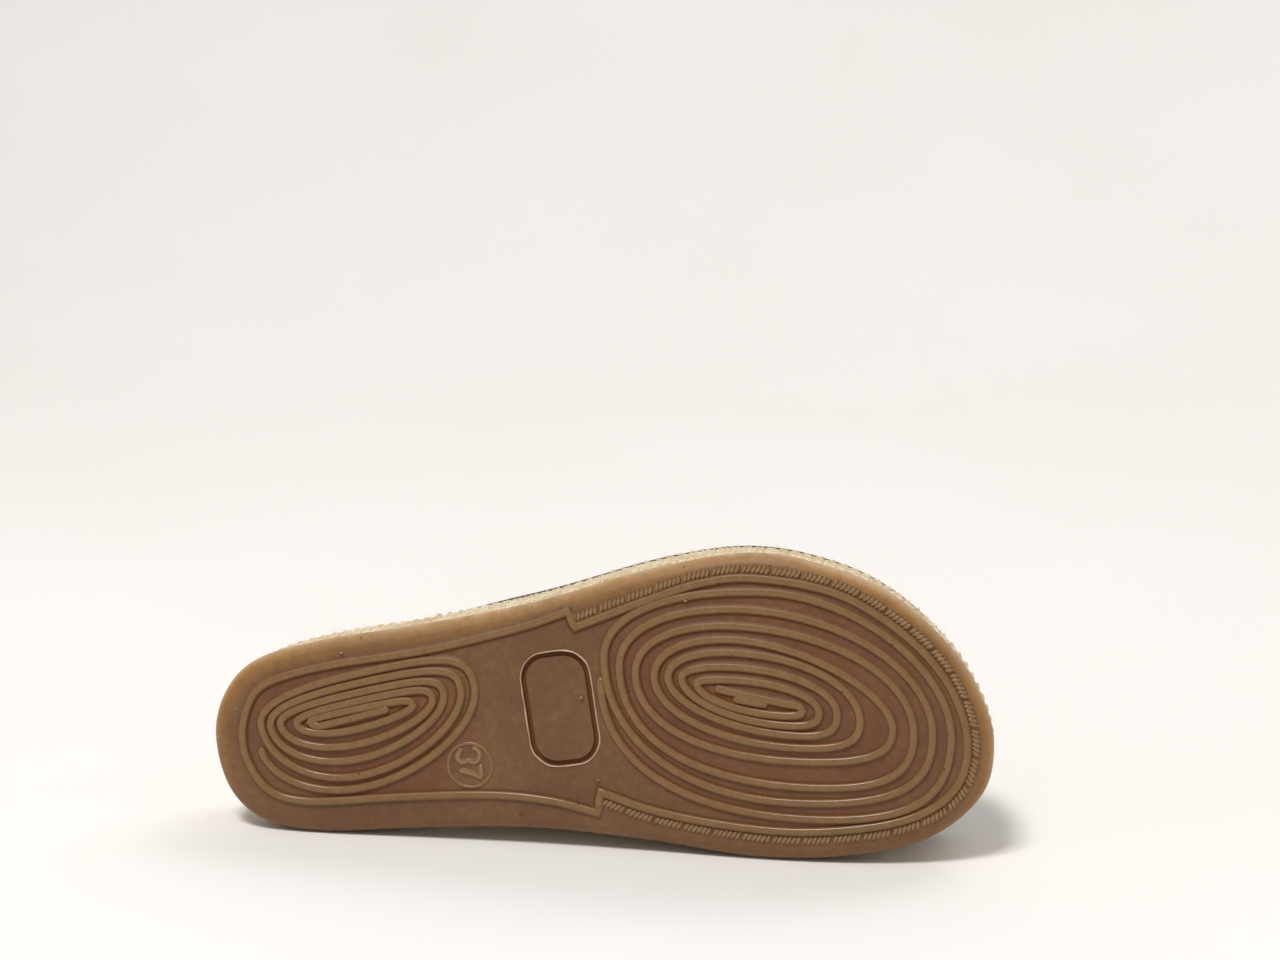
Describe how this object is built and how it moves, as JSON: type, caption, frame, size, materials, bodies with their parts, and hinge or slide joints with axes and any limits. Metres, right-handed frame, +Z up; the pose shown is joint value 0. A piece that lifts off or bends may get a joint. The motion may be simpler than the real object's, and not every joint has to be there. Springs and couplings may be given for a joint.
{
  "type": "backless clog",
  "caption": "Slip-on clog for the right foot with closed felt toe, open back, braided jute platform and moulded rubber sole with spiral ribs, lying on its inner side.",
  "frame": {"origin": "below the middle of the shoe's box, on the floor it lies on", "axes": "+X from heel to toe, +Z up from the inner side it lies on towards the outer side, tread towards -Y"},
  "size_m": [0.2508, 0.0876, 0.0969],
  "materials": {
    "outsole": "moulded, satin",
    "midsole": "natural jute braid",
    "insole": "felt",
    "upper": "felt"
  },
  "bodies": {
    "root": {"outsole": "outsole", "midsole": "midsole", "insole": "insole", "upper": "upper"}
  },
  "joints": []
}
